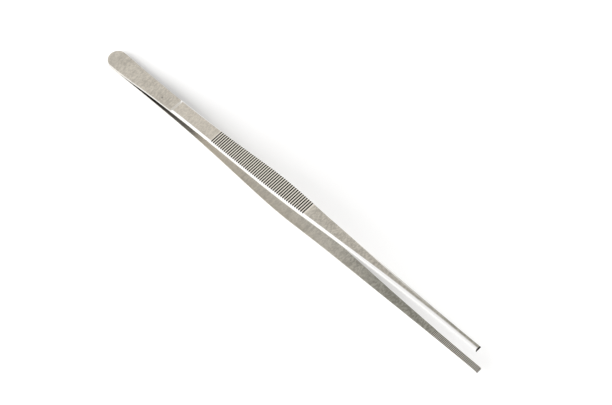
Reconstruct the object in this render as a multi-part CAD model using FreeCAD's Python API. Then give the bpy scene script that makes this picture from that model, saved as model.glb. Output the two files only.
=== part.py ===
import FreeCAD, Part
import math
import os

V = FreeCAD.Vector

# Thumb forceps: two spring arms of ground steel, welded face to face at the butt.
# All sizes are in millimetres. Each arm is drawn closed side down: x runs from the butt
# to the tips, y across the arm, and z from the middle plane out to the arm's outer face.

# Places along the arm
length = 300.0            # butt to tips
weld_length = 16.0        # stretch over which the two heels touch
heel_length = 58.8        # thin heel, up to the foot of the shoulder
shoulder_run = 2.0        # length of the sloped shoulder at the end of the heel
waist_from_shoulder = 13.0
grip_from_heel = 35.2     # from the end of the heel to the first cross groove
bow_from_grip = 31.0      # where the arm starts to level off
swell_from_grip = 54.0    # widest place of the grip, where the lower arm touches the floor
thick_from_grip = 61.0    # thickest place of the grip
taper_from_grip_end = 10.0
shank_from_grip_end = 35.0
crown_from_grip_end = 20.0   # from here on the bevels grow into a crown
round_from_grip_end = 118.0  # from here on the outer side is fully crowned

# Cross grooves on the outer face of the grip
groove_count = 50
groove_pitch = 1.543
groove_width = 0.85
groove_floor = 0.35
groove_depth = 0.42

# Serrations on the inner face of the jaw
tooth_count = 37
tooth_pitch = 0.93
tooth_depth = 0.28
tooth_land = 0.12         # flat crest between two serrations

# Height of the inner face above the middle plane, which is half the gap
spring_rise = 1.14
heel_rise = 2.81
grip_rise = 5.3
bow_rise = 7.83
swell_rise = 9.44
grip_end_rise = 9.98
shank_rise = 11.4
tip_rise = 13.0
tip_slope = 0.006

# Thickness of the arm
heel_thickness = 2.0
shoulder_thickness = 3.39
handle_thickness = 3.21
swell_thickness = 4.0
shank_thickness = 3.32
tip_thickness = 2.5

# Width of the arm
butt_width = 12.1
neck_width = 10.8
waist_width = 9.3
bow_width = 10.9
swell_width = 11.25
taper_width = 8.65
shank_width = 6.95
tip_width = 3.6

# Edges
bevel_width = 0.72        # bevel along both outer edges of the handle
bevel_height = 1.15
crown_flat = 0.2          # half the flat that is left on top of the crown
round_height = 1.75       # height of the crown at the tip
round_bulge = 0.42        # how far the crown stands out beyond a straight bevel
rim_bevel = 0.45          # softened outer rim of the heel
nose_radius = 1.1         # rounded outer corner of the tip

# Worked out from the sizes above
butt_radius = butt_width / 2
shoulder_end = heel_length + shoulder_run
grip_start = heel_length + grip_from_heel
neck_x = heel_length / 2
spring_x = weld_length + (heel_length - weld_length) * 0.42
waist_x = heel_length + waist_from_shoulder
grip_end = grip_start + groove_count * groove_pitch
bow_x = grip_start + bow_from_grip
swell_x = grip_start + swell_from_grip
thick_x = grip_start + thick_from_grip
handle_x = (grip_start + bow_x) / 2
taper_x = grip_end + taper_from_grip_end
shank_x = grip_end + shank_from_grip_end
crown_x = grip_end + crown_from_grip_end
round_x = grip_end + round_from_grip_end
handle_spacing = 12.0      # between the cross-sections that the handle is drawn through
shank_spacing = 26.0
reach = butt_width + tip_rise + swell_thickness   # longer than any cutter needs to be


def curve_through(points, start_slope, end_slope):
    """A smooth curve of height over x through the points, with its slope set at both ends."""
    curve = Part.BSplineCurve()
    curve.interpolate(Points=[V(x, 0, h) for x, h in points],
                      Parameters=[float(x) for x, h in points],
                      InitialTangent=V(1, 0, start_slope),
                      FinalTangent=V(1, 0, end_slope), Scale=False)
    return curve


def height_at(curve, x):
    """Height of such a curve at x, held level before its first point."""
    return curve.value(max(x, curve.FirstParameter)).z


inner_curve = curve_through([(weld_length, 0.0), (spring_x, spring_rise), (heel_length, heel_rise),
                             (grip_start, grip_rise), (bow_x, bow_rise), (swell_x, swell_rise),
                             (grip_end, grip_end_rise), (shank_x, shank_rise),
                             (length, tip_rise)], 0.0, tip_slope)
thickness_curve = curve_through([(heel_length, shoulder_thickness), (handle_x, handle_thickness),
                                 (thick_x, swell_thickness), (shank_x, shank_thickness),
                                 (length, tip_thickness)], 0.0, 0.0)
side_curve = curve_through([(butt_radius, butt_width / 2), (neck_x, neck_width / 2),
                            (waist_x, waist_width / 2), (bow_x, bow_width / 2),
                            (swell_x, swell_width / 2), (taper_x, taper_width / 2),
                            (shank_x, shank_width / 2), (length, tip_width / 2)], 0.0, 0.0)


def inner_height(x):
    return height_at(inner_curve, x)


def outer_height(x):
    return inner_height(x) + height_at(thickness_curve, x)


def ease(x, start, end):
    """Goes smoothly from 0 at the start to 1 at the end."""
    t = min(max((x - start) / (end - start), 0.0), 1.0)
    return t * t * (3 - 2 * t)


def handle_section(x):
    """Cross-section of the handle with its bevels run on past the sides of the arm."""
    side = height_at(side_curve, x)
    top = outer_height(x)
    overrun = bevel_width
    wall = side + overrun
    low = top - bevel_height * (bevel_width + overrun) / bevel_width
    right = [V(x, wall, low - heel_thickness - tip_rise), V(x, wall, low), V(x, side - bevel_width, top)]
    left = [V(p.x, -p.y, p.z) for p in reversed(right)]
    return Part.makePolygon(right + left + right[:1])


def shank_section(x):
    """Cross-section past the grip: the bevels grow into a rounded crown towards the tip."""
    blend = ease(x, crown_x, round_x)
    side = height_at(side_curve, x)
    edge_w = bevel_width + blend * (side - crown_flat - bevel_width)
    edge_h = bevel_height + blend * (round_height - bevel_height)
    top = outer_height(x)
    out = V(0, edge_h, edge_w) * (2 * blend * round_bulge / math.hypot(edge_h, edge_w))
    low, high = V(x, side, top - edge_h), V(x, side - edge_w, top)
    right = [V(x, side, inner_height(x) - heel_thickness), low, (low + high) / 2 + out, high]
    left = [V(p.x, -p.y, p.z) for p in right]
    return Part.Wire([Part.makeLine(left[0], right[0]), Part.makeLine(right[0], right[1]),
                      curve_over(right[1:]), Part.makeLine(right[3], left[3]),
                      curve_over(left[:0:-1]), Part.makeLine(left[1], left[0])])


def curve_over(poles):
    """A parabola that leaves its first and last pole towards the middle one."""
    curve = Part.BezierCurve()
    curve.setPoles(poles)
    return curve.toShape()


def across(edges):
    """A closed outline in the xz plane carried across the whole width of the arm."""
    face = Part.Face(Part.Wire(edges))
    face.translate(V(0, -reach, 0))
    return face.extrude(V(0, 2 * reach, 0))


def loft(section, start, end, spacing):
    """A long bar through evenly spaced cross-sections between two places along the arm."""
    count = math.ceil((end - start) / spacing)
    places = [start + (end - start) * i / count for i in range(count + 1)]
    return Part.makeLoft([section(x) for x in places], True, False)


def handle():
    """The heel and the grip: their outline from above, under the bevelled outer face."""
    sides = []
    for turn in (-90, 90):
        side = side_curve.toShape(butt_radius, grip_end)
        side.rotate(V(0, 0, 0), V(1, 0, 0), turn)
        sides.append(side)
    end = height_at(side_curve, grip_end)
    butt = Part.Arc(V(butt_radius, -butt_radius, 0), V(0, 0, 0), V(butt_radius, butt_radius, 0))
    last = Part.makeLine(V(grip_end, end, 0), V(grip_end, -end, 0))
    face = Part.Face(Part.Wire([butt.toShape(), sides[0], last, sides[1]]))
    face.translate(V(0, 0, -reach))
    return face.extrude(V(0, 0, 2 * reach)).common(loft(handle_section, -1.0, grip_end, handle_spacing))


def below_inner_face():
    """What lies on the middle plane's side of the inner face."""
    face = inner_curve.toShape()
    low = -2 * heel_thickness
    corners = [V(length, 0, tip_rise), V(length + reach, 0, tip_rise), V(length + reach, 0, low),
               V(-reach, 0, low), V(-reach, 0, 0), V(weld_length, 0, 0)]
    lines = [Part.makeLine(a, b) for a, b in zip(corners, corners[1:])]
    return across([face] + lines)


def above_heel():
    """What is ground off the heel, ending in the sloped shoulder."""
    face = inner_curve.toShape(weld_length, heel_length)
    face.translate(V(0, 0, heel_thickness))
    foot = V(heel_length, 0, heel_rise + heel_thickness)
    rise = outer_height(shoulder_end) - foot.z
    high = outer_height(shoulder_end) + reach
    slope_end = V(heel_length + shoulder_run * (high - foot.z) / rise, 0, high)
    corners = [foot, slope_end, V(-reach, 0, high), V(-reach, 0, heel_thickness),
               V(weld_length, 0, heel_thickness)]
    lines = [Part.makeLine(a, b) for a, b in zip(corners, corners[1:])]
    return across([face] + lines)


def soften_heel(arm):
    """Bevels the outer rim of the heel, from the shoulder round the butt and back."""
    rim = []
    for edge in arm.Edges:
        on_rim = all(p.x < heel_length + 0.01
                     and abs(p.z - inner_height(p.x) - heel_thickness) < 0.01
                     for p in edge.discretize(5))
        if on_rim and not all(p.x > heel_length - 0.01 for p in edge.discretize(5)):
            rim.append(edge)
    return arm.makeChamfer(rim_bevel, rim)


def outside_nose():
    """The sharp outer corner of the tip, which is rounded over."""
    top = outer_height(length)
    turn = nose_radius * (1 - math.sqrt(0.5))
    start, end = V(length - nose_radius, 0, top), V(length, 0, top - nose_radius)
    arc = Part.Arc(start, V(length - turn, 0, top - turn), end).toShape()
    corners = [end, V(length + 1, 0, top - nose_radius), V(length + 1, 0, top + 1),
               V(length - nose_radius, 0, top + 1), start]
    lines = [Part.makeLine(a, b) for a, b in zip(corners, corners[1:])]
    return across([arc] + lines)


def grip_grooves():
    """Straight cross grooves with sloping walls and a flat floor, one every pitch."""
    cutters = []
    for i in range(groove_count):
        x = grip_start + (i + 0.5) * groove_pitch
        top, low = outer_height(x) + groove_depth, outer_height(x) - groove_depth
        half_top = groove_width / 2 + (groove_width - groove_floor) / 2
        corners = [V(x - half_top, 0, top), V(x + half_top, 0, top),
                   V(x + groove_floor / 2, 0, low), V(x - groove_floor / 2, 0, low),
                   V(x - half_top, 0, top)]
        cutters.append(across([Part.makeLine(a, b) for a, b in zip(corners, corners[1:])]))
    return cutters


def jaw_serrations():
    """V-shaped cross serrations on the inner face, from the tip back, one every pitch."""
    cutters = []
    half = (tooth_pitch - tooth_land) / 2
    for i in range(tooth_count):
        x = length - (i + 0.5) * tooth_pitch
        face = inner_height(x)
        corners = [V(x - 2 * half, 0, face - tooth_depth), V(x + 2 * half, 0, face - tooth_depth),
                   V(x, 0, face + tooth_depth), V(x - 2 * half, 0, face - tooth_depth)]
        cutters.append(across([Part.makeLine(a, b) for a, b in zip(corners, corners[1:])]))
    return cutters


def make_arm():
    """One arm, its inner face on the middle plane at the butt."""
    arm = handle().fuse(loft(shank_section, grip_end, length, shank_spacing))
    arm = arm.cut(below_inner_face()).cut(above_heel())
    arm = soften_heel(arm).cut(outside_nose())
    return arm.cut(Part.makeCompound(grip_grooves())).cut(Part.makeCompound(jaw_serrations()))


def rest_angle():
    """Slope of the floor that touches the heel's rim and the belly of the lower arm."""
    start = rim_bevel
    places = [heel_length + (length - heel_length) * i / 500 for i in range(501)]
    return math.degrees(max(math.atan2(outer_height(x) - heel_thickness, x - start)
                            for x in places))


upper_arm = make_arm()
lower_arm = upper_arm.mirror(V(0, 0, 0), V(0, 0, 1))
arms = {"upper_arm": upper_arm, "lower_arm": lower_arm}

# The forceps lies on its butt and on the belly of the lower arm, tips in the air.
# The origin is the middle of its footprint, on the floor.
angle = rest_angle()
for name in arms:
    arms[name] = arms[name].Solids[0]
    arms[name].rotate(V(0, 0, 0), V(0, 1, 0), -angle)
box = Part.makeCompound(list(arms.values())).optimalBoundingBox()
shift = V(-box.Center.x, -box.Center.y, -box.ZMin)

os.makedirs("parts", exist_ok=True)
for name, arm in arms.items():
    arm.translate(shift)
    arm.exportStep("parts/" + name + ".step")
    print(name, "volume", round(arm.Volume, 1), "centre x", round(arm.CenterOfMass.x, 2))
print("rest angle", round(angle, 3), "shift", shift, "size", box.XLength, box.YLength, box.ZLength)
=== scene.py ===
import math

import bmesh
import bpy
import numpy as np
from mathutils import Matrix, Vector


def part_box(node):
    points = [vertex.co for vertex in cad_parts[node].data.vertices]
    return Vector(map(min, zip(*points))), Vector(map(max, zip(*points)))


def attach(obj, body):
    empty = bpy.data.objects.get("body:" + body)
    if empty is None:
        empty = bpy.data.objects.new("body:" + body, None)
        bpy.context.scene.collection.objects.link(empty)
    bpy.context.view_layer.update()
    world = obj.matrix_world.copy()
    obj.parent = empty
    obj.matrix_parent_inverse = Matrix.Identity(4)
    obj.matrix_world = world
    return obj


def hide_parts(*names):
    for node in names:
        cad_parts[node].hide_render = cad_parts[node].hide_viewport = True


bl_info = {
    "name": "Thumb forceps",
    "version": (1, 0, 0),
    "blender": (4, 5, 0),
    "location": "3D View > Sidebar > Forceps",
    "description": "Long straight thumb forceps of satin steel, dressed over its packed CAD frame",
    "category": "Add Mesh",
}

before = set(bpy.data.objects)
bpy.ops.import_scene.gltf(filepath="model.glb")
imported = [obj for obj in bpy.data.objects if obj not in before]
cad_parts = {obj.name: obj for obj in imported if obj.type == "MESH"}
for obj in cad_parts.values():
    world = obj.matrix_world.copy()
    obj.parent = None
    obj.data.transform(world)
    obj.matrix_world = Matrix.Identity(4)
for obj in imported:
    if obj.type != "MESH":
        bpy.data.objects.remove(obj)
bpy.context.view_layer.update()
MM = 0.001

# Columns of a cross-section, from the centre line of the inner face round to that of the outer one
FLAT = np.array([0, 0.25, 0.5, 0.75, 0.93, 0.985])      # shares of a flat face, from its middle out
BEND = np.linspace(0, math.pi / 2, 4)                   # turns of the softened inner edge
WALL = np.linspace(0, 1, 6)[1:-1]                       # shares of the upright side
OVER = np.linspace(0, 1, 13)                            # shares of the way over bevel or rounding
COLUMNS = 2 * len(FLAT) + len(BEND) + len(WALL) + len(OVER)
OUTSIDE = np.arange(COLUMNS) >= len(FLAT) + len(BEND)   # true past the face towards the other arm
POLISHED = np.concatenate([0 * FLAT, 0 * BEND, np.minimum(3 * WALL, 1), 1 + 0 * OVER, 0 * FLAT])

# Rows of cross-sections along the arm
ROUND_BUTT_ROWS = 33
ROUND_NOSE_ROWS = 10
SHOULDER_ROWS = 9
SHOULDER_MARGIN = 0.3 * MM
ROW_STEP = 1.5 * MM
BELLY_SAMPLES = 2000                                    # places where the floor may touch the arm
SAME_POINT = 1e-7                                       # points closer than this are one
SHARP_EDGE = math.radians(25)                           # edges that turn by more stay crisp

# Where a finish starts and where it is full, in heel lengths from the butt
ARMS_APART = (1.3, 2.9)
# The painted sheen on the inner face past the heel
BRIGHT_HANDLE = (2.0, 1.5)

# The same, in shank lengths past the grip
INNER_DULLING = (0.3, 1.8)
# Painted shade on the far side of the inner face grows in over this
FAR_INNER_SHADE_GROWTH = (-0.6, 0.4)
OUTER_DULLING = (0.0, 1 / 12)

# The same, in shares of a full cut. The first two paint shade into serrations and grooves; the last
# fades the worn crests' painted sheen
SERRATION_SHADE = (0.3, 0.8)
GROOVE_SHADE = (0.0, 1 / 7)
CREST_WEAR_AND_SHEEN = (0.65, 0.15)

# The same, in shares of the way over the crown, and of the arm's width from near to far. The near side's
# rounding stays polished, a painted sheen, until the first gives way to satin; past the second the far
# side takes painted shade
NEAR_SHEEN_TO_SATIN = (0.72, 1.62)
FAR_CROWN = (0.55, 1.05)

# Painted shade in the narrow gap between the arms, at places in heel lengths from the butt
CREVICE_PLACES = (0.6, 0.75, 0.92, 1.26, 1.38)
CREVICE_SHADE = (0.55, 0.45, 0.34, 0.25, 0.0)
# Soil and painted shade, which darken grooves, serrations, the gap between the arms and the tip's end,
# are full from this number on
FULL_SOIL_AND_SHADE = 0.55                                        # from this number on, a place is all soil

# Noises of the steel: scale per metre, along, across and up, and the range that shades
CLOUD_SCALE, CLOUD_RANGE = 160.0, (0.35, 0.75)
GRAIN_SCALE = (2600.0, 90.0, 260.0)
STROKE_SCALE, STROKE_RANGE = (700.0, 40.0, 80.0), (0.35, 0.65)
SPECK_SCALE, SPECK_RANGE = (1300.0, 620.0, 900.0), (0.38, 0.62)

# The small dark mark: its dark middle and its faded edge in radii, and how far round its centre
# the mesh is searched for its height
MARK_FADE = (0.3, 1.4)
MARK_SEARCH = 2 * MM

# The side of the room that is grey: its direction, and the cosines where it starts and is full
FAR_WALL = (0.0, 0.7, 0.714)
FAR_WALL_GREY = (-0.3, 0.85)


def size(name, description, millimetres):
    """A length that a user can change, given in millimetres and kept in metres."""
    return bpy.props.FloatProperty(name=name, description=description, default=millimetres * MM,
                                   unit="LENGTH", precision=5)


def share(name, description, default):
    """A plain number, mostly from 0 to 1."""
    return bpy.props.FloatProperty(name=name, description=description, default=default,
                                   min=0.0, soft_max=2.0, precision=3)


def tint(name, description, default):
    """A linear colour."""
    return bpy.props.FloatVectorProperty(name=name, description=description, default=default,
                                         subtype="COLOR", size=3, min=0.0, max=1.0)


class ForcepsLengths(bpy.types.PropertyGroup):
    """Places along an arm, measured from the butt."""
    total: size("Length", "Butt to tips", 300.0)
    weld: size("Weld", "Stretch over which the heels touch", 16.0)
    spring: share("Spring", "Middle of the spring, as a share of the way from weld to shoulder", 0.42)
    heel: size("Heel", "Thin heel, up to the foot of the shoulder", 58.8)
    shoulder: size("Shoulder", "Run of the sloped shoulder", 2.0)
    waist: size("Waist", "From the heel's end to the narrowest place of the handle", 13.0)
    grip: size("Grip start", "From the heel's end to the first cross groove", 35.2)
    bow: size("Bow", "From the grip's start to where the arm levels off", 31.0)
    swell: size("Swell", "From the grip's start to its widest place", 54.0)
    thickest: size("Thickest", "From the grip's start to its thickest place", 61.0)
    taper: size("Taper", "From the grip's end to a place on the taper", 10.0)
    shank: size("Shank", "From the grip's end to the slim shank", 35.0)
    crown: size("Crown start", "From the grip's end to where the bevels grow into a crown", 20.0)
    rounding: size("Crown end", "From the grip's end to where the outer side is fully crowned", 118.0)


class ForcepsHeights(bpy.types.PropertyGroup):
    """Heights of the inner face above the middle plane, and thicknesses of the arm."""
    spring_rise: size("Rise at the spring", "Half the gap in the middle of the heel", 1.14)
    heel_rise: size("Rise at the heel", "Half the gap at the shoulder", 2.81)
    grip_rise: size("Rise at the grip", "Half the gap where the grooves begin", 5.3)
    bow_rise: size("Rise at the bow", "Half the gap at the bow", 7.83)
    swell_rise: size("Rise at the swell", "Half the gap at the widest place", 9.44)
    grip_end_rise: size("Rise at the grip's end", "Half the gap where the grooves end", 9.98)
    shank_rise: size("Rise at the shank", "Half the gap at the slim shank", 11.4)
    tip_rise: size("Rise at the tip", "Half the gap at the tips", 13.0)
    tip_slope: share("Slope at the tip", "Slope of the inner face at the tip", 0.006)
    heel_thickness: size("Heel thickness", "Thickness of the thin heel", 2.0)
    shoulder_thickness: size("Shoulder thickness", "Thickness just past the shoulder", 3.39)
    handle_thickness: size("Handle thickness", "Thickness ahead of the bow", 3.21)
    swell_thickness: size("Swell thickness", "Largest thickness of the grip", 4.0)
    shank_thickness: size("Shank thickness", "Thickness of the slim shank", 3.32)
    tip_thickness: size("Tip thickness", "Thickness at the tip", 2.5)


class ForcepsWidths(bpy.types.PropertyGroup):
    """Widths of the arm and the shape of its edges."""
    butt: size("Butt width", "Width of the round butt", 12.1)
    neck: size("Neck width", "Width in the middle of the heel", 10.8)
    waist: size("Waist width", "Narrowest width of the handle", 9.3)
    bow: size("Bow width", "Width at the bow", 10.9)
    swell: size("Swell width", "Largest width of the grip", 11.25)
    taper: size("Taper width", "Width just past the grip", 8.65)
    shank: size("Shank width", "Width of the slim shank", 6.95)
    tip: size("Tip width", "Width at the tip", 3.6)
    bevel: size("Bevel width", "Bevel along the handle, seen from above", 0.72)
    bevel_height: size("Bevel height", "Height of the same bevel", 1.15)
    crown_flat: size("Crown flat", "Half the flat left on top of the rounded outer side", 0.2)
    round_height: size("Rounding height", "Height of the same rounding", 1.75)
    round_bulge: size("Rounding bulge", "How far it stands out beyond a straight bevel", 0.42)
    rim: size("Rim radius", "Softened outer rim of the heel", 0.5)
    bright_rim: size("Bright rim", "Width of the bright line along that rim", 0.15)
    bright_margin: size("Bright margin", "Bright line before and behind the shoulder", 0.25)
    inner_edge: size("Inner edge radius", "Softened edges of the inner face", 0.12)
    nose: size("Nose radius", "Rounded outer corner of the tip", 1.1)
    # The tip's rounded corner is darkened towards near black over this length
    dark_end: size("Raw end", "Dark raw metal on the rounded corner of the tip", 0.77)


class ForcepsTeeth(bpy.types.PropertyGroup):
    """Cross grooves of the grip and serrations of the jaw."""
    grooves: bpy.props.IntProperty(name="Grooves", description="Cross grooves on a grip", default=50)
    pitch: size("Groove pitch", "From one groove to the next", 1.543)
    width: size("Groove width", "Width at the surface", 0.85)
    floor: size("Groove floor", "Width of the flat floor", 0.35)
    depth: size("Groove depth", "Depth of a groove", 0.42)
    teeth: bpy.props.IntProperty(name="Serrations", description="Serrations on a jaw", default=37)
    tooth_pitch: size("Serration pitch", "From one serration to the next", 0.93)
    tooth_depth: size("Serration depth", "Depth of a serration", 0.28)
    tooth_land: size("Serration crest", "Flat crest between two serrations", 0.12)


class ForcepsSteel(bpy.types.PropertyGroup):
    """The satin steel, its marks, and the painted shade and sheen laid on it."""
    colour: tint("Steel", "Colour of the satin ground faces", (0.822, 0.77, 0.682))
    shade: tint("Shade", "What their darker patches keep of it", (0.62, 0.615, 0.61))
    inner: tint("Inner faces", "Colour of the faces between the arms", (0.745, 0.714, 0.647))
    # This darker colour is partly the duller grind of the shank and jaw, and partly painted shade on the
    # heel, on the far side of the crown and on the far side of the inner faces
    dull_and_shade: tint("Dull", "Colour of the duller faces, on the shank and the jaw", (0.455, 0.445, 0.392))
    # This bright colour is the worn lands and crests with a painted sheen on top, and a painted sheen on
    # the inner face past the heel
    wear_and_sheen: tint("Ridges", "Colour of the worn lands and crests between the cuts", (0.97, 0.925, 0.84))
    edge: tint("Edges", "Colour of the polished sides and bevels", (0.93, 0.925, 0.91))
    # This near black colour is painted shade in grooves, serrations and the gap between the arms; it
    # also darkens the tip's end and the small mark
    soil_and_shade: tint("Soil", "Colour of the rough floors of grooves and serrations", (0.025, 0.023, 0.018))
    roughness: share("Roughness", "Roughness of the satin grinding", 0.38)
    polish: share("Polish", "Roughness of the polished edges", 0.16)
    cloud_roughness: share("Cloud roughness", "What the broad clouds add to it", 0.06)
    grain_roughness: share("Grain roughness", "What the cross grain adds to it", 0.05)
    soil_roughness: share("Soil roughness", "What soil adds to it", 0.2)
    grain: share("Grain", "Strength of the fine cross grain", 0.12)
    grain_height: size("Grain height", "Height of the same grain", 0.02)
    fine_share: share("Fine share", "Share of fine grain in that height, the rest being strokes", 0.7)
    clouds: share("Clouds", "Shade in the broad clouds", 0.25)
    strokes: share("Strokes", "Shade in the strokes across the arm", 0.2)
    specks: share("Specks", "Shade in the fine specks", 0.35)
    dull_specks: share("Dull specks", "What duller faces add to the specks", 0.55)
    mark_along: size("Mark along", "Small dark mark on the heel, from the butt", 48.0)
    mark_across: size("Mark across", "The same mark, from the centre line", -1.6)
    mark: size("Mark", "Radius of the mark", 0.65)
    mark_soil: share("Mark soil", "How dark the mark is", 0.55)


class ForcepsWear(bpy.types.PropertyGroup):
    """How far the faces of an arm are polished, dulled and worn, each from 0 to 1; a few of them paint
    shade and sheen onto the arm.
    """
    rim_polish: share("Rim polish", "Polish of the heel's outer rim", 0.6)
    handle_polish: share("Handle polish", "Polish of the inner face just past the heel", 0.35)
    # The heel's darker outer face is partly a duller ground and partly painted shade
    heel_dull_and_shade: share("Dull heel", "Dulling of the heel's outer face", 0.13)
    shank_dull: share("Dull shank", "Dulling of the flat outer face past the grip", 0.31)
    crown_dull: share("Dull crown", "What the crown adds to it towards the tip", 0.41)
    # Painted shade on the far side of the crown, away from the light
    far_crown_shade: share("Dull far side", "What the far side of the crown adds to it", 0.35)
    # Painted shade that darkens the inner face towards its far side, where the other arm shades it
    far_inner_shade: share("Slant", "How much duller the inner face is on the far side than on the near", 0.45)
    far_inner_shade_start: share("Slant start", "Share of the width at which that adds nothing", 0.4)
    jaw_dull: share("Dull jaw", "What the serrations keep of the inner face's dulling", 0.1)
    # Worn lands with a painted sheen on top
    land_wear_and_sheen: share("Worn lands", "Brightness of the lands between the grip's grooves", 0.95)
    # Painted sheen on the inner face just past the heel
    handle_sheen: share("Worn handle", "Brightness of the inner face just past the heel", 0.5)


class ForcepsStage(bpy.types.PropertyGroup):
    """The camera, the floor and the light."""
    azimuth: bpy.props.FloatProperty(name="Azimuth", description="Camera's direction round Z from +X",
                                     default=math.radians(-40.31), subtype="ANGLE")
    elevation: bpy.props.FloatProperty(name="Elevation", description="Camera's height above the floor",
                                       default=math.radians(63.26), subtype="ANGLE")
    roll: bpy.props.FloatProperty(name="Roll", description="Camera's turn about its own line of sight",
                                  default=math.radians(-5.28), subtype="ANGLE")
    distance: size("Distance", "Camera to the middle of the forceps", 1100.0)
    aim_along: size("Aim along", "Middle of the forceps that the camera looks at", -0.5)
    aim_height: size("Aim height", "Height of the same point", 13.5)
    lens: bpy.props.FloatProperty(name="Lens", description="Focal length in millimetres", default=112.64)
    floor: tint("Floor", "White of the floor", (0.85, 0.85, 0.85))
    floor_size: size("Floor size", "Half the side of the floor", 3000.0)
    floor_glow: share("Floor glow", "What lifts the floor to white for the camera and mirrors", 0.25)
    room: tint("Room", "White of the room", (1.0, 1.0, 1.0))
    far_side: tint("Far side", "Grey of the room opposite the light", (0.78, 0.77, 0.755))
    side: share("Side light", "Strength of the soft light on the near side", 1.28)
    low: share("Low light", "Strength of the lower and narrower light on the near side", 0.59)
    heel_side: share("Heel light", "Strength of the soft light on the heel's side", 1.66)
    fill: share("Fill", "Strength of the room's own light", 0.51)


def ramp(value, low, high):
    """Goes straight from 0 at low to 1 at high, which may be the lower number."""
    return np.clip((value - low) / (high - low), 0, 1)


def ease(way):
    """Starts and ends gently while way goes from 0 to 1: 3 way^2 - 2 way^3."""
    return way * way * (3 - 2 * way)


def bent(first, middle, last, t):
    """A curve with one control point: (1-t)^2 first + 2t(1-t) middle + t^2 last."""
    return (1 - t) ** 2 * first + 2 * t * (1 - t) * middle + t * t * last


def curve_through(places, heights, start_slope, end_slope):
    """A smooth cubic curve through points, level before the first one.

    Each span is a cubic whose slopes at the points make the bends of neighbouring spans meet.
    """
    x, h = np.asarray(places, float), np.asarray(heights, float)
    span, rise = np.diff(x), np.diff(h) / np.diff(x)
    system = np.eye(len(x))
    known = np.concatenate([[start_slope], 3 * (rise[:-1] / span[:-1] + rise[1:] / span[1:]),
                            [end_slope]])
    inside = np.arange(1, len(x) - 1)
    system[inside, inside - 1] = 1 / span[:-1]
    system[inside, inside] = 2 / span[:-1] + 2 / span[1:]
    system[inside, inside + 1] = 1 / span[1:]
    slope = np.linalg.solve(system, known)

    def height(at):
        at = np.maximum(np.asarray(at, float), x[0])
        i = np.clip(np.searchsorted(x, at, side="right") - 1, 0, len(span) - 1)
        t = (at - x[i]) / span[i]
        return (h[i] * (1 + 2 * t) * (1 - t) ** 2 + slope[i] * span[i] * t * (1 - t) ** 2
                + h[i + 1] * t * t * (3 - 2 * t) - slope[i + 1] * span[i] * t * t * (1 - t))

    return height


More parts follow.
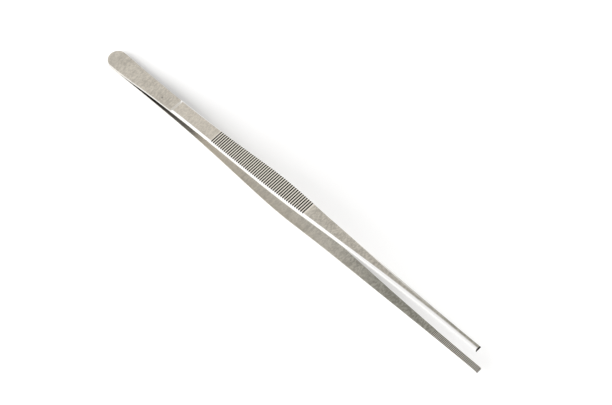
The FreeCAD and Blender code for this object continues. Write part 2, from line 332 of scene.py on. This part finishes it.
class ArmShape:
    """The form of one arm, with x from the butt to the tip and z out from the middle plane."""

    def __init__(self, scene):
        self.length, self.height = scene.forceps_lengths, scene.forceps_heights
        self.width, self.tooth = scene.forceps_widths, scene.forceps_teeth
        self.wear = scene.forceps_wear
        at, rise, wide, tooth = self.length, self.height, self.width, self.tooth
        self.butt_radius = wide.butt / 2
        self.grip = at.heel + at.grip
        self.grip_end = self.grip + tooth.grooves * tooth.pitch
        self.shoulder_end = at.heel + at.shoulder
        bow, swell = self.grip + at.bow, self.grip + at.swell
        shank = self.grip_end + at.shank
        spring = at.weld + (at.heel - at.weld) * at.spring
        self.inner = curve_through(
            [at.weld, spring, at.heel, self.grip, bow, swell, self.grip_end, shank, at.total],
            [0.0, rise.spring_rise, rise.heel_rise, rise.grip_rise, rise.bow_rise, rise.swell_rise,
             rise.grip_end_rise, rise.shank_rise, rise.tip_rise], 0.0, rise.tip_slope)
        self.thickness = curve_through(
            [at.heel, (self.grip + bow) / 2, self.grip + at.thickest, shank, at.total],
            [rise.shoulder_thickness, rise.handle_thickness, rise.swell_thickness,
             rise.shank_thickness, rise.tip_thickness], 0.0, 0.0)
        self.side = curve_through(
            [self.butt_radius, at.heel / 2, at.heel + at.waist, bow, swell, self.grip_end + at.taper,
             shank, at.total],
            [wide.butt / 2, wide.neck / 2, wide.waist / 2, wide.bow / 2, wide.swell / 2,
             wide.taper / 2, wide.shank / 2, wide.tip / 2], 0.0, 0.0)

    def outer(self, x):
        """Height of the outer face, as if there were no thin heel."""
        return self.inner(x) + self.thickness(x)

    def stations(self):
        """Places along the arm where it needs a cross-section, from the butt's centre to the tip."""
        at, wide, tooth = self.length, self.width, self.tooth
        even = np.arange(self.butt_radius, at.total, ROW_STEP)
        shoulder = np.linspace(at.heel - SHOULDER_MARGIN, self.shoulder_end + SHOULDER_MARGIN,
                               SHOULDER_ROWS)
        centres = self.grip + (np.arange(tooth.grooves) + 0.5) * tooth.pitch
        half, flat = tooth.width / 2, tooth.floor / 2
        corners = np.array([-half, -(half + flat) / 2, -flat, flat, (half + flat) / 2, half])
        grooves = (centres[:, None] + corners).ravel()
        tips = at.total - (np.arange(tooth.teeth) + 0.5) * tooth.tooth_pitch
        reach = (tooth.tooth_pitch - tooth.tooth_land) / 2
        teeth = (tips[:, None] + np.array([-reach, -reach / 2, 0, reach / 2, reach])).ravel()
        nose = at.total - wide.nose * (1 - np.sin(np.linspace(0, math.pi / 2, ROUND_NOSE_ROWS)))
        places = np.concatenate([even, shoulder, grooves, teeth, nose, [at.heel, self.shoulder_end]])
        places = np.unique(np.round(places, 7))
        return places[places >= self.butt_radius]

    def groove(self, x):
        """Depth of the cross grooves below the outer face: sloping walls and a flat floor."""
        tooth = self.tooth
        along = (x - self.grip) / tooth.pitch
        inside = (along >= 0) & (along <= tooth.grooves)
        off = np.abs(along - np.floor(along) - 0.5) * tooth.pitch
        wall = (tooth.width - tooth.floor) / 2
        return tooth.depth * np.clip((tooth.width / 2 - off) / wall, 0, 1) * inside

    def serration(self, x):
        """Depth of the V serrations, which are cut from the jaw's inner face towards the outer one."""
        at, tooth = self.length, self.tooth
        along = (at.total - x) / tooth.tooth_pitch
        inside = (along >= 0) & (along <= tooth.teeth)
        off = np.abs(along - np.floor(along) - 0.5) * tooth.tooth_pitch
        reach = (tooth.tooth_pitch - tooth.tooth_land) / 2
        return tooth.tooth_depth * np.clip(1 - off / reach, 0, 1) * inside

    def ceiling(self, x, inset):
        """Highest that the outer side may be at x and at the distance inset from the outline.

        The heel is thin and has a round rim, the shoulder is a straight slope from the heel's end
        to the handle, and the nose is a quarter circle. Nothing limits the rest.
        """
        at, wide, rise = self.length, self.width, self.height
        rim = np.clip(wide.rim - inset, 0, wide.rim)
        heel = self.inner(x) + rise.heel_thickness - (wide.rim - np.sqrt(wide.rim ** 2 - rim ** 2))
        foot = rise.heel_rise + rise.heel_thickness
        slope = (self.outer(self.shoulder_end) - foot) / at.shoulder
        shoulder = foot + (x - at.heel) * slope
        top = np.where(x < at.heel, heel, np.where(x < self.shoulder_end, shoulder, np.inf))
        over = np.clip(x - (at.total - wide.nose), 0, wide.nose)
        nose = self.outer(at.total) - wide.nose + np.sqrt(wide.nose ** 2 - over ** 2)
        return np.where(over > 0, np.minimum(top, nose), top)

    def crown(self, x):
        """How far the outer face and its bevels have become a crown: 0 on the grip, 1 at the tip."""
        return ease(ramp(x, self.grip_end + self.length.crown, self.grip_end + self.length.rounding))

    def half(self, side):
        """Half of the arm as a grid of points, from the butt round to the tip, and its finish.

        side is 1 for the far half, with y above 0, and -1 for the near half.

        Each row of the grid is a cross-section that runs from the centre line of the inner face
        out to the outline, up the side, over the bevel or rounding and back to the centre line.
        Round the butt the cross-sections fan out from its centre, and past it they lie across.
        The bevel is straight, and the more it becomes a crown the more it stands out as a curve.
        """
        wide = self.width
        turn = np.linspace(0, math.pi / 2, ROUND_BUTT_ROWS)[:-1]
        along = self.stations()
        start = np.concatenate([0 * turn + self.butt_radius, along])[:, None]
        aim_x = np.concatenate([-np.cos(turn), 0 * along])[:, None]
        aim_y = np.concatenate([np.sin(turn), 0 * along + 1])[:, None]
        reach, crown = self.side(start), self.crown(start)
        inner, top = self.inner(start), self.outer(start)

        edge_w = wide.bevel + crown * (reach - wide.crown_flat - wide.bevel)
        edge_h = wide.bevel_height + crown * (wide.round_height - wide.bevel_height)
        bulge = 2 * crown * wide.round_bulge / np.hypot(edge_w, edge_h)
        over_w = bent(reach, reach - edge_w / 2 + bulge * edge_h, reach - edge_w, OVER)
        over_z = bent(top - edge_h, top - edge_h / 2 + bulge * edge_w, top, OVER)
        soft = wide.inner_edge
        out = np.concatenate([FLAT * (reach - soft), reach - soft + soft * np.sin(BEND),
                              reach + 0 * WALL, over_w, FLAT[::-1] * (reach - edge_w)], axis=1)
        z = np.concatenate([inner + 0 * FLAT, inner + soft * (1 - np.cos(BEND)),
                            inner + soft + WALL * (top - edge_h - inner - soft),
                            over_z, top + 0 * FLAT], axis=1)
        x = start + aim_x * out
        y = side * aim_y * out

        uncut = np.where(OUTSIDE, np.minimum(z, self.ceiling(x, reach - out)), z)
        cut = np.where(OUTSIDE, np.minimum(uncut, self.outer(x) - self.groove(x)),
                       np.maximum(uncut, inner + self.serration(x)))
        finish = self.finish(side, x, out, reach, crown, cut - uncut)
        return np.stack([x, y, cut], axis=2), finish

    def finish(self, side, x, out, reach, crown, cut):
        """Numbers from 0 to 1 for each point of a half, which the material reads.

        out is a point's distance from the centre line, reach that of the outline, crown as above,
        and cut the height of what is cut away, above 0 in a serration and below 0 in a groove.

        polish is full on the sides, bevels and shoulder, and lower on the heel's rim and the inner
        face past the heel. On the crown it gives way to satin, which goes further down on the far
        side than on the near one: a painted shade on the far side and a painted sheen on the near.
        soil_and_shade is painted shade, full in grooves and serrations and fading along the narrow
        gap past the weld, and it darkens the end of the tip. inner marks the faces between the arms
        where light reaches them. dull_and_shade goes up along the shank; it is low on the heel, where
        it is partly a duller ground and partly painted shade, and it adds painted shade on the far
        sides of the crown and of the inner face. wear_and_sheen marks the worn lands and crests, with
        a painted sheen on top, and a painted sheen on the inner face past the heel.
        """
        at, wide, wear, tooth = self.length, self.width, self.wear, self.tooth
        heels, shanks = x / at.heel, (x - self.grip_end) / at.shank
        across = (1 + side * out / reach) / 2
        serrated, grooved = cut / tooth.tooth_depth, -cut / tooth.depth
        past_heel, apart = x > at.heel, ramp(heels, *ARMS_APART)
        jaw = ~OUTSIDE & (x > at.total - tooth.teeth * tooth.tooth_pitch)
        grip = OUTSIDE & (x > self.grip) & (x < self.grip_end)
        heel = OUTSIDE & (x < at.heel)
        shoulder = OUTSIDE & (x >= at.heel - wide.bright_margin)
        shoulder = shoulder & (x < self.shoulder_end + wide.bright_margin)

        # Painted shade along the narrow gap between the arms and in serrations and grooves, and a
        # darkened end of the tip
        crevice_shade = np.interp(heels, CREVICE_PLACES, CREVICE_SHADE) * (x > at.weld) * ~OUTSIDE
        # The tip's end darkened towards black
        end = ramp(x, at.total - wide.dark_end, at.total) ** 2 * OUTSIDE
        soil_and_shade = np.maximum.reduce([ramp(serrated, *SERRATION_SHADE), ramp(grooved, *GROOVE_SHADE),
                                  end, crevice_shade])

        # The far side's crown turns satin all over as painted shade, and the near side's stays polished
        # lower down as a painted sheen
        satin = 1 + 0 * OVER if side > 0 else ease(ramp(OVER, *NEAR_SHEEN_TO_SATIN))
        satin = np.concatenate([0 * FLAT, 0 * BEND, 0 * WALL, satin, 0 * FLAT])
        polish = POLISHED * (1 - crown * satin)
        rim = 1 - ramp(reach - out, 0, wide.bright_rim) ** 2
        polish = np.where(heel, wear.rim_polish * rim, polish)
        polish = np.where(shoulder, 1, polish)
        polish = np.maximum(polish, wear.handle_polish * (1 - apart) * past_heel * ~OUTSIDE)

        inside = ramp(shanks, *INNER_DULLING) * np.where(jaw, wear.jaw_dull, 1)
        # Painted shade towards the far side of the inner face
        inside = inside + wear.far_inner_shade * (across - wear.far_inner_shade_start) * ramp(shanks, *FAR_INNER_SHADE_GROWTH)
        outside = ramp(shanks, *OUTER_DULLING) * (wear.shank_dull + wear.crown_dull * crown)
        # Painted shade on the far side of the crown
        outside = outside + (side > 0) * wear.far_crown_shade * crown * ramp(across, *FAR_CROWN)
        # On the heel this is partly a duller ground and partly painted shade
        dull_and_shade = np.where(heel, wear.heel_dull_and_shade, np.where(OUTSIDE, outside, inside))

        # The stretch past the heel is painted sheen; the lands and crests are wear with a painted sheen
        handle = ramp(heels, *BRIGHT_HANDLE) * past_heel * ~OUTSIDE
        wear_and_sheen = np.maximum.reduce([jaw * ramp(serrated, *CREST_WEAR_AND_SHEEN), wear.land_wear_and_sheen * grip,
                                   wear.handle_sheen * handle])
        return {"polish": polish * (1 - soil_and_shade), "soil_and_shade": soil_and_shade, "inner": apart * ~OUTSIDE, "dull_and_shade": dull_and_shade,
                "wear_and_sheen": wear_and_sheen}

    def rest_angle(self):
        """Slope of the floor that touches the heel's rim and the belly of the lower arm."""
        x = np.linspace(self.length.heel, self.length.total, BELLY_SAMPLES)
        rise = self.outer(x) - self.height.heel_thickness
        return float(np.arctan2(rise, x - self.width.rim).max())


def grid_faces(rows, columns):
    """The four corners of each face of a grid of points, with its outside to the right."""
    corner = np.arange(rows * columns).reshape(rows, columns)
    return np.stack([corner[:-1, :-1], corner[1:, :-1], corner[1:, 1:], corner[:-1, 1:]],
                    axis=2).reshape(-1, 4)


def make_mesh(name, points, faces, finish):
    """A closed mesh from points and four-cornered faces, its doubles merged and normals outwards.

    finish holds a named number for each point, which the material reads.
    """
    mesh = bpy.data.meshes.new(name)
    mesh.from_pydata(points.tolist(), [], faces.tolist())
    for key, values in finish.items():
        mesh.attributes.new(key, "FLOAT", "POINT").data.foreach_set("value", values)
    work = bmesh.new()
    work.from_mesh(mesh)
    bmesh.ops.remove_doubles(work, verts=work.verts, dist=SAME_POINT)
    bmesh.ops.dissolve_degenerate(work, edges=work.edges, dist=SAME_POINT / 10)
    bmesh.ops.recalc_face_normals(work, faces=work.faces)
    work.to_mesh(mesh)
    work.free()
    mesh.polygons.foreach_set("use_smooth", [True] * len(mesh.polygons))
    mesh.set_sharp_from_angle(angle=SHARP_EDGE)
    piece = bpy.data.objects.new(name, mesh)
    bpy.context.scene.collection.objects.link(piece)
    return piece


def arm_grid(shape):
    """Points, faces and finish of a whole arm: its two halves and the tip's flat end.

    The near half's rows run back from the tip to the butt, and the far half's on to the tip, so
    that the first and last rows are the two sides of the end face.
    """
    far, far_finish = shape.half(1)
    near, near_finish = shape.half(-1)
    whole = np.concatenate([near[::-1], far[1:]])
    finish = {key: np.concatenate([near_finish[key][::-1], far_finish[key][1:]]).ravel()
              for key in far_finish}
    rows, columns = whole.shape[:2]
    faces = grid_faces(rows, columns)
    first, last = np.arange(columns), (rows - 1) * columns + np.arange(columns)
    end = np.stack([first[:-1], first[1:], last[1:], last[:-1]], axis=1)
    return whole.reshape(-1, 3), np.concatenate([faces, end]), finish


class Value:
    """A shader value, so that sums and products of values can be written as plain maths."""

    def __init__(self, nodes, socket):
        self.nodes, self.socket = nodes, socket

    def _math(self, operation, first, second):
        return self.nodes.add("ShaderNodeMath", {"operation": operation}, [first, second])

    def __add__(self, other):
        return self._math("ADD", self, other)

    __radd__ = __add__

    def __sub__(self, other):
        return self._math("SUBTRACT", self, other)

    def __rsub__(self, other):
        return self._math("SUBTRACT", other, self)

    def __mul__(self, other):
        return self._math("MULTIPLY", self, other)

    __rmul__ = __mul__

    def largest(self, other):
        return self._math("MAXIMUM", self, other)

    def ramp(self, low, high):
        """Goes smoothly from 0 at low to 1 at high."""
        return self.nodes.add("ShaderNodeMapRange", {"interpolation_type": "SMOOTHSTEP"},
                              {"Value": self, "From Min": low, "From Max": high})


class Nodes:
    """Adds nodes to a material's or world's tree, each with its settings and its inputs."""

    def __init__(self, owner):
        owner.use_nodes = True
        self.tree = owner.node_tree
        self.tree.nodes.clear()

    def node(self, kind, settings=None, inputs=None):
        """A node of a kind, with inputs given in order or by name, as values or as plain numbers."""
        made = self.tree.nodes.new(kind)
        for key, value in (settings or {}).items():
            setattr(made, key, value)
        places = inputs if isinstance(inputs, dict) else dict(enumerate(inputs or []))
        for key, value in places.items():
            if isinstance(value, Value):
                self.tree.links.new(value.socket, made.inputs[key])
            else:
                made.inputs[key].default_value = value
        return made

    def add(self, kind, settings=None, inputs=None, output=0):
        """The value that a new node gives."""
        return Value(self, self.node(kind, settings, inputs).outputs[output])

    def mix(self, factor, first, second, blend="MIX"):
        """A colour between two colours, or the first darkened by the second.

        The colours are the Mix node's inputs 6 and 7, and its result as a colour is output 2.
        """
        return self.add("ShaderNodeMix", {"data_type": "RGBA", "blend_type": blend},
                        {"Factor": factor, 6: first, 7: second}, output=2)

    def attribute(self, name):
        """A number that the mesh carries at each of its points."""
        return self.add("ShaderNodeAttribute", {"attribute_name": name}, output="Fac")

    def noise(self, vector, scale, detail):
        """Soft noise, with one scale for all directions."""
        return self.add("ShaderNodeTexNoise", None,
                        {"Vector": vector, "Scale": scale, "Detail": detail})

    def stretched_noise(self, vector, scales, detail):
        """Soft noise, with a scale of its own in each direction."""
        scaled = self.add("ShaderNodeMapping", None, {"Vector": vector, "Scale": scales})
        return self.noise(scaled, 1.0, detail)

    def seen(self):
        """1 where the camera, a mirror or a glass looks, and 0 for the light on the object."""
        ray = self.node("ShaderNodeLightPath")
        camera, glossy, through = (Value(self, ray.outputs[kind]) for kind in
                                   ("Is Camera Ray", "Is Glossy Ray", "Is Transmission Ray"))
        return camera.largest(glossy).largest(through)


def steel_material(name, steel, spot):
    """Satin ground steel: cloudy warm grey, and a fine grain that runs across the arm.

    The mesh's numbers lay the finishes over each other: the faces between the arms, the duller
    ones with the painted shade among them, the clouds, strokes and specks, the polished edges, the
    worn lands with their painted sheen, and last the soil with the painted shade of the cuts and gap.
    spot is the place of the small dark mark, or None.
    """
    material = bpy.data.materials.new(name)
    nodes = Nodes(material)
    place = nodes.add("ShaderNodeTexCoord", output="Object")
    polish, dull_and_shade = nodes.attribute("polish"), nodes.attribute("dull_and_shade")
    # Soil and painted shade: grooves, serrations, the gap between the arms, the tip's end, and the small
    # mark
    soil_and_shade = nodes.attribute("soil_and_shade").ramp(0.0, FULL_SOIL_AND_SHADE)
    if spot is not None:
        away = nodes.add("ShaderNodeVectorMath", {"operation": "DISTANCE"}, [place, spot],
                         output="Value")
        outside_mark = away.ramp(*(radii * steel.mark for radii in MARK_FADE))
        soil_and_shade = soil_and_shade.largest((1.0 - outside_mark) * steel.mark_soil)

    cloud = nodes.noise(place, CLOUD_SCALE, 3.0)
    grain = nodes.stretched_noise(place, GRAIN_SCALE, 3.0)
    strokes = nodes.stretched_noise(place, STROKE_SCALE, 2.0)
    specks = nodes.stretched_noise(place, SPECK_SCALE, 2.0)
    shade = cloud.ramp(*CLOUD_RANGE) * steel.clouds + strokes.ramp(*STROKE_RANGE) * steel.strokes
    shade = shade + specks.ramp(*SPECK_RANGE) * (steel.specks + dull_and_shade * steel.dull_specks)

    colour = nodes.mix(nodes.attribute("inner"), (*steel.colour, 1), (*steel.inner, 1))
    colour = nodes.mix(dull_and_shade, colour, (*steel.dull_and_shade, 1))
    colour = nodes.mix(shade, colour, (*steel.shade, 1), "MULTIPLY")
    colour = nodes.mix(polish, colour, (*steel.edge, 1))
    # Worn lands and crests with a painted sheen, and a painted sheen past the heel
    colour = nodes.mix(nodes.attribute("wear_and_sheen") * (1.0 - polish), colour, (*steel.wear_and_sheen, 1))
    # Near black painted shade and soil laid over everything else
    colour = nodes.mix(soil_and_shade, colour, (*steel.soil_and_shade, 1))

    height = grain * steel.fine_share + strokes * (1 - steel.fine_share)
    bump = nodes.add("ShaderNodeBump", None,
                     {"Strength": steel.grain, "Distance": steel.grain_height, "Height": height})
    satin = steel.roughness + cloud * steel.cloud_roughness + grain * steel.grain_roughness
    roughness = satin + polish * (steel.polish - steel.roughness) + soil_and_shade * steel.soil_roughness
    surface = nodes.add("ShaderNodeBsdfPrincipled", None,
                        {"Base Color": colour, "Metallic": 1.0, "Roughness": roughness,
                         "Normal": bump})
    nodes.node("ShaderNodeOutputMaterial", None, [surface])
    return material


def mark_place(steel, placed):
    """The point of the upper arm's heel on which the small dark mark lies.

    Its height is that of the highest point of the mesh close round it, as seen from above.
    """
    low = placed[:, 0].min()
    off = np.hypot(placed[:, 0] - low - steel.mark_along, placed[:, 1] - steel.mark_across)
    near = placed[off < MARK_SEARCH]
    return (float(low + steel.mark_along), float(steel.mark_across), float(near[:, 2].max()))


class FORCEPS_OT_arms(bpy.types.Operator):
    """Makes the two spring arms of the forceps"""
    bl_idname = "forceps.arms"
    bl_label = "Spring arms"

    def execute(self, context):
        shape = ArmShape(context.scene)
        points, faces, finish = arm_grid(shape)
        turn = np.array(Matrix.Rotation(-shape.rest_angle(), 3, "Y"))
        steel = context.scene.forceps_steel
        # Each arm is turned from the middle plane to how it rests, and moved to its node's corner
        for node, flip in (("upper_arm", 1), ("lower_arm", -1)):
            placed = (points * np.array([1, 1, flip])) @ turn.T
            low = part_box(node)[0]
            placed += np.array([low.x, 0, low.z]) - placed.min(axis=0) * np.array([1, 0, 1])
            piece = make_mesh("satin_" + node, placed, faces, finish)
            spot = mark_place(steel, placed) if flip > 0 else None
            piece.data.materials.append(steel_material("satin steel, " + node, steel, spot))
            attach(piece, "root")
            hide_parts(node)
        return {"FINISHED"}


def camera_axes(stage):
    """Right, up and backward directions of the camera from its angles."""
    flat = math.cos(stage.elevation)
    back = Vector((flat * math.cos(stage.azimuth), flat * math.sin(stage.azimuth),
                   math.sin(stage.elevation)))
    level = Vector((0, 0, 1)).cross(back).normalized()
    upright = back.cross(level)
    turn_c, turn_s = math.cos(stage.roll), math.sin(stage.roll)
    right = level * turn_c + upright * turn_s
    return right, back.cross(right), back


def add_camera(stage):
    """The camera at the photograph's viewing angle, aimed at the middle of the forceps."""
    image_width, image_height = 612, 405
    middle_u, middle_v = 284.7, 199.0      # pixel that the middle of the forceps falls on
    aim = Vector((stage.aim_along, 0.0, stage.aim_height))
    data = bpy.data.cameras.new("photo_camera")
    data.lens = stage.lens
    data.clip_end = 10.0
    data.shift_x = (image_width / 2 - middle_u) / image_width
    data.shift_y = (middle_v - image_height / 2) / image_width
    camera = bpy.data.objects.new("photo_camera", data)
    right, up, back = camera_axes(stage)
    camera.matrix_world = Matrix.Translation(aim + back * stage.distance) @ Matrix(
        (right, up, back)).transposed().to_4x4()
    bpy.context.scene.collection.objects.link(camera)
    bpy.context.scene.camera = camera


def add_floor(stage):
    """A wide white floor whose own glow, for what looks at it or mirrors it, lifts it to white."""
    corners = np.array([[-1, -1, 0], [1, -1, 0], [1, 1, 0], [-1, 1, 0]]) * stage.floor_size
    mesh = bpy.data.meshes.new("white_floor")
    mesh.from_pydata(corners.tolist(), [], [[0, 1, 2, 3]])
    floor = bpy.data.objects.new("white_floor", mesh)
    bpy.context.scene.collection.objects.link(floor)
    material = bpy.data.materials.new("white floor")
    nodes = Nodes(material)
    paint = nodes.add("ShaderNodeBsdfDiffuse", None, {"Color": (*stage.floor, 1)})
    glow = nodes.add("ShaderNodeEmission", None,
                     {"Color": (1, 1, 1, 1), "Strength": nodes.seen() * stage.floor_glow})
    surface = nodes.add("ShaderNodeAddShader", None, [paint, glow])
    nodes.node("ShaderNodeOutputMaterial", None, [surface])
    mesh.materials.append(material)


def add_world(stage):
    """A white room that darkens on the side away from the light, towards +Y and up."""
    world = bpy.data.worlds.new("studio")
    bpy.context.scene.world = world
    nodes = Nodes(world)
    direction = nodes.add("ShaderNodeTexCoord", output="Generated")
    away_from_light = nodes.add("ShaderNodeVectorMath", {"operation": "DOT_PRODUCT"},
                                [direction, FAR_WALL], output="Value")
    grey = away_from_light.ramp(*FAR_WALL_GREY)
    colour = nodes.mix(grey, (*stage.room, 1), (*stage.far_side, 1))
    seen = nodes.seen()
    light = nodes.add("ShaderNodeBackground", None,
                      {"Color": colour, "Strength": seen + (1.0 - seen) * stage.fill})
    nodes.node("ShaderNodeOutputWorld", None, [light])


def add_light(name, source, across, strength):
    """A far soft light from the direction source, across degrees wide.

    Steel mirrors the room and the floor, and not this light.
    """
    data = bpy.data.lights.new(name, "SUN")
    data.angle = math.radians(across)
    data.energy = strength
    light = bpy.data.objects.new(name, data)
    light.visible_glossy = False
    light.matrix_world = Vector(source).to_track_quat("Z", "Y").to_matrix().to_4x4()
    bpy.context.scene.collection.objects.link(light)


class FORCEPS_OT_stage(bpy.types.Operator):
    """Makes the camera, the floor, the world and the three soft lights"""
    bl_idname = "forceps.stage"
    bl_label = "Stage"

    def execute(self, context):
        stage = context.scene.forceps_stage
        add_camera(stage)
        add_floor(stage)
        add_world(stage)
        add_light("side_light", source=(-0.12, -0.73, 0.65), across=40.0, strength=stage.side)
        add_light("low_light", source=(-0.1, -0.73, 0.35), across=22.0, strength=stage.low)
        add_light("heel_light", source=(-0.6, -0.5, 0.5), across=40.0, strength=stage.heel_side)
        context.scene.view_settings.view_transform = "Standard"
        return {"FINISHED"}


class FORCEPS_PT_panel(bpy.types.Panel):
    """Lists the makers of the forceps in the sidebar"""
    bl_label = "Thumb forceps"
    bl_space_type = "VIEW_3D"
    bl_region_type = "UI"
    bl_category = "Forceps"

    def draw(self, context):
        for operator in MAKERS:
            self.layout.operator(operator.bl_idname)


GROUPS = {"forceps_lengths": ForcepsLengths, "forceps_heights": ForcepsHeights,
          "forceps_widths": ForcepsWidths, "forceps_teeth": ForcepsTeeth,
          "forceps_steel": ForcepsSteel, "forceps_wear": ForcepsWear,
          "forceps_stage": ForcepsStage}
MAKERS = (FORCEPS_OT_stage, FORCEPS_OT_arms)


def register():
    """Registers the classes and gives every scene the groups of values."""
    for kind in (*GROUPS.values(), *MAKERS, FORCEPS_PT_panel):
        bpy.utils.register_class(kind)
    for name, group in GROUPS.items():
        setattr(bpy.types.Scene, name, bpy.props.PointerProperty(type=group))


def unregister():
    """Takes the values and the classes away again."""
    for name in GROUPS:
        delattr(bpy.types.Scene, name)
    for kind in (FORCEPS_PT_panel, *reversed(MAKERS), *reversed(GROUPS.values())):
        bpy.utils.unregister_class(kind)


def main():
    """Makes the stage and the arms."""
    register()
    bpy.ops.forceps.stage()
    bpy.ops.forceps.arms()


if __name__ == "__main__":
    main()
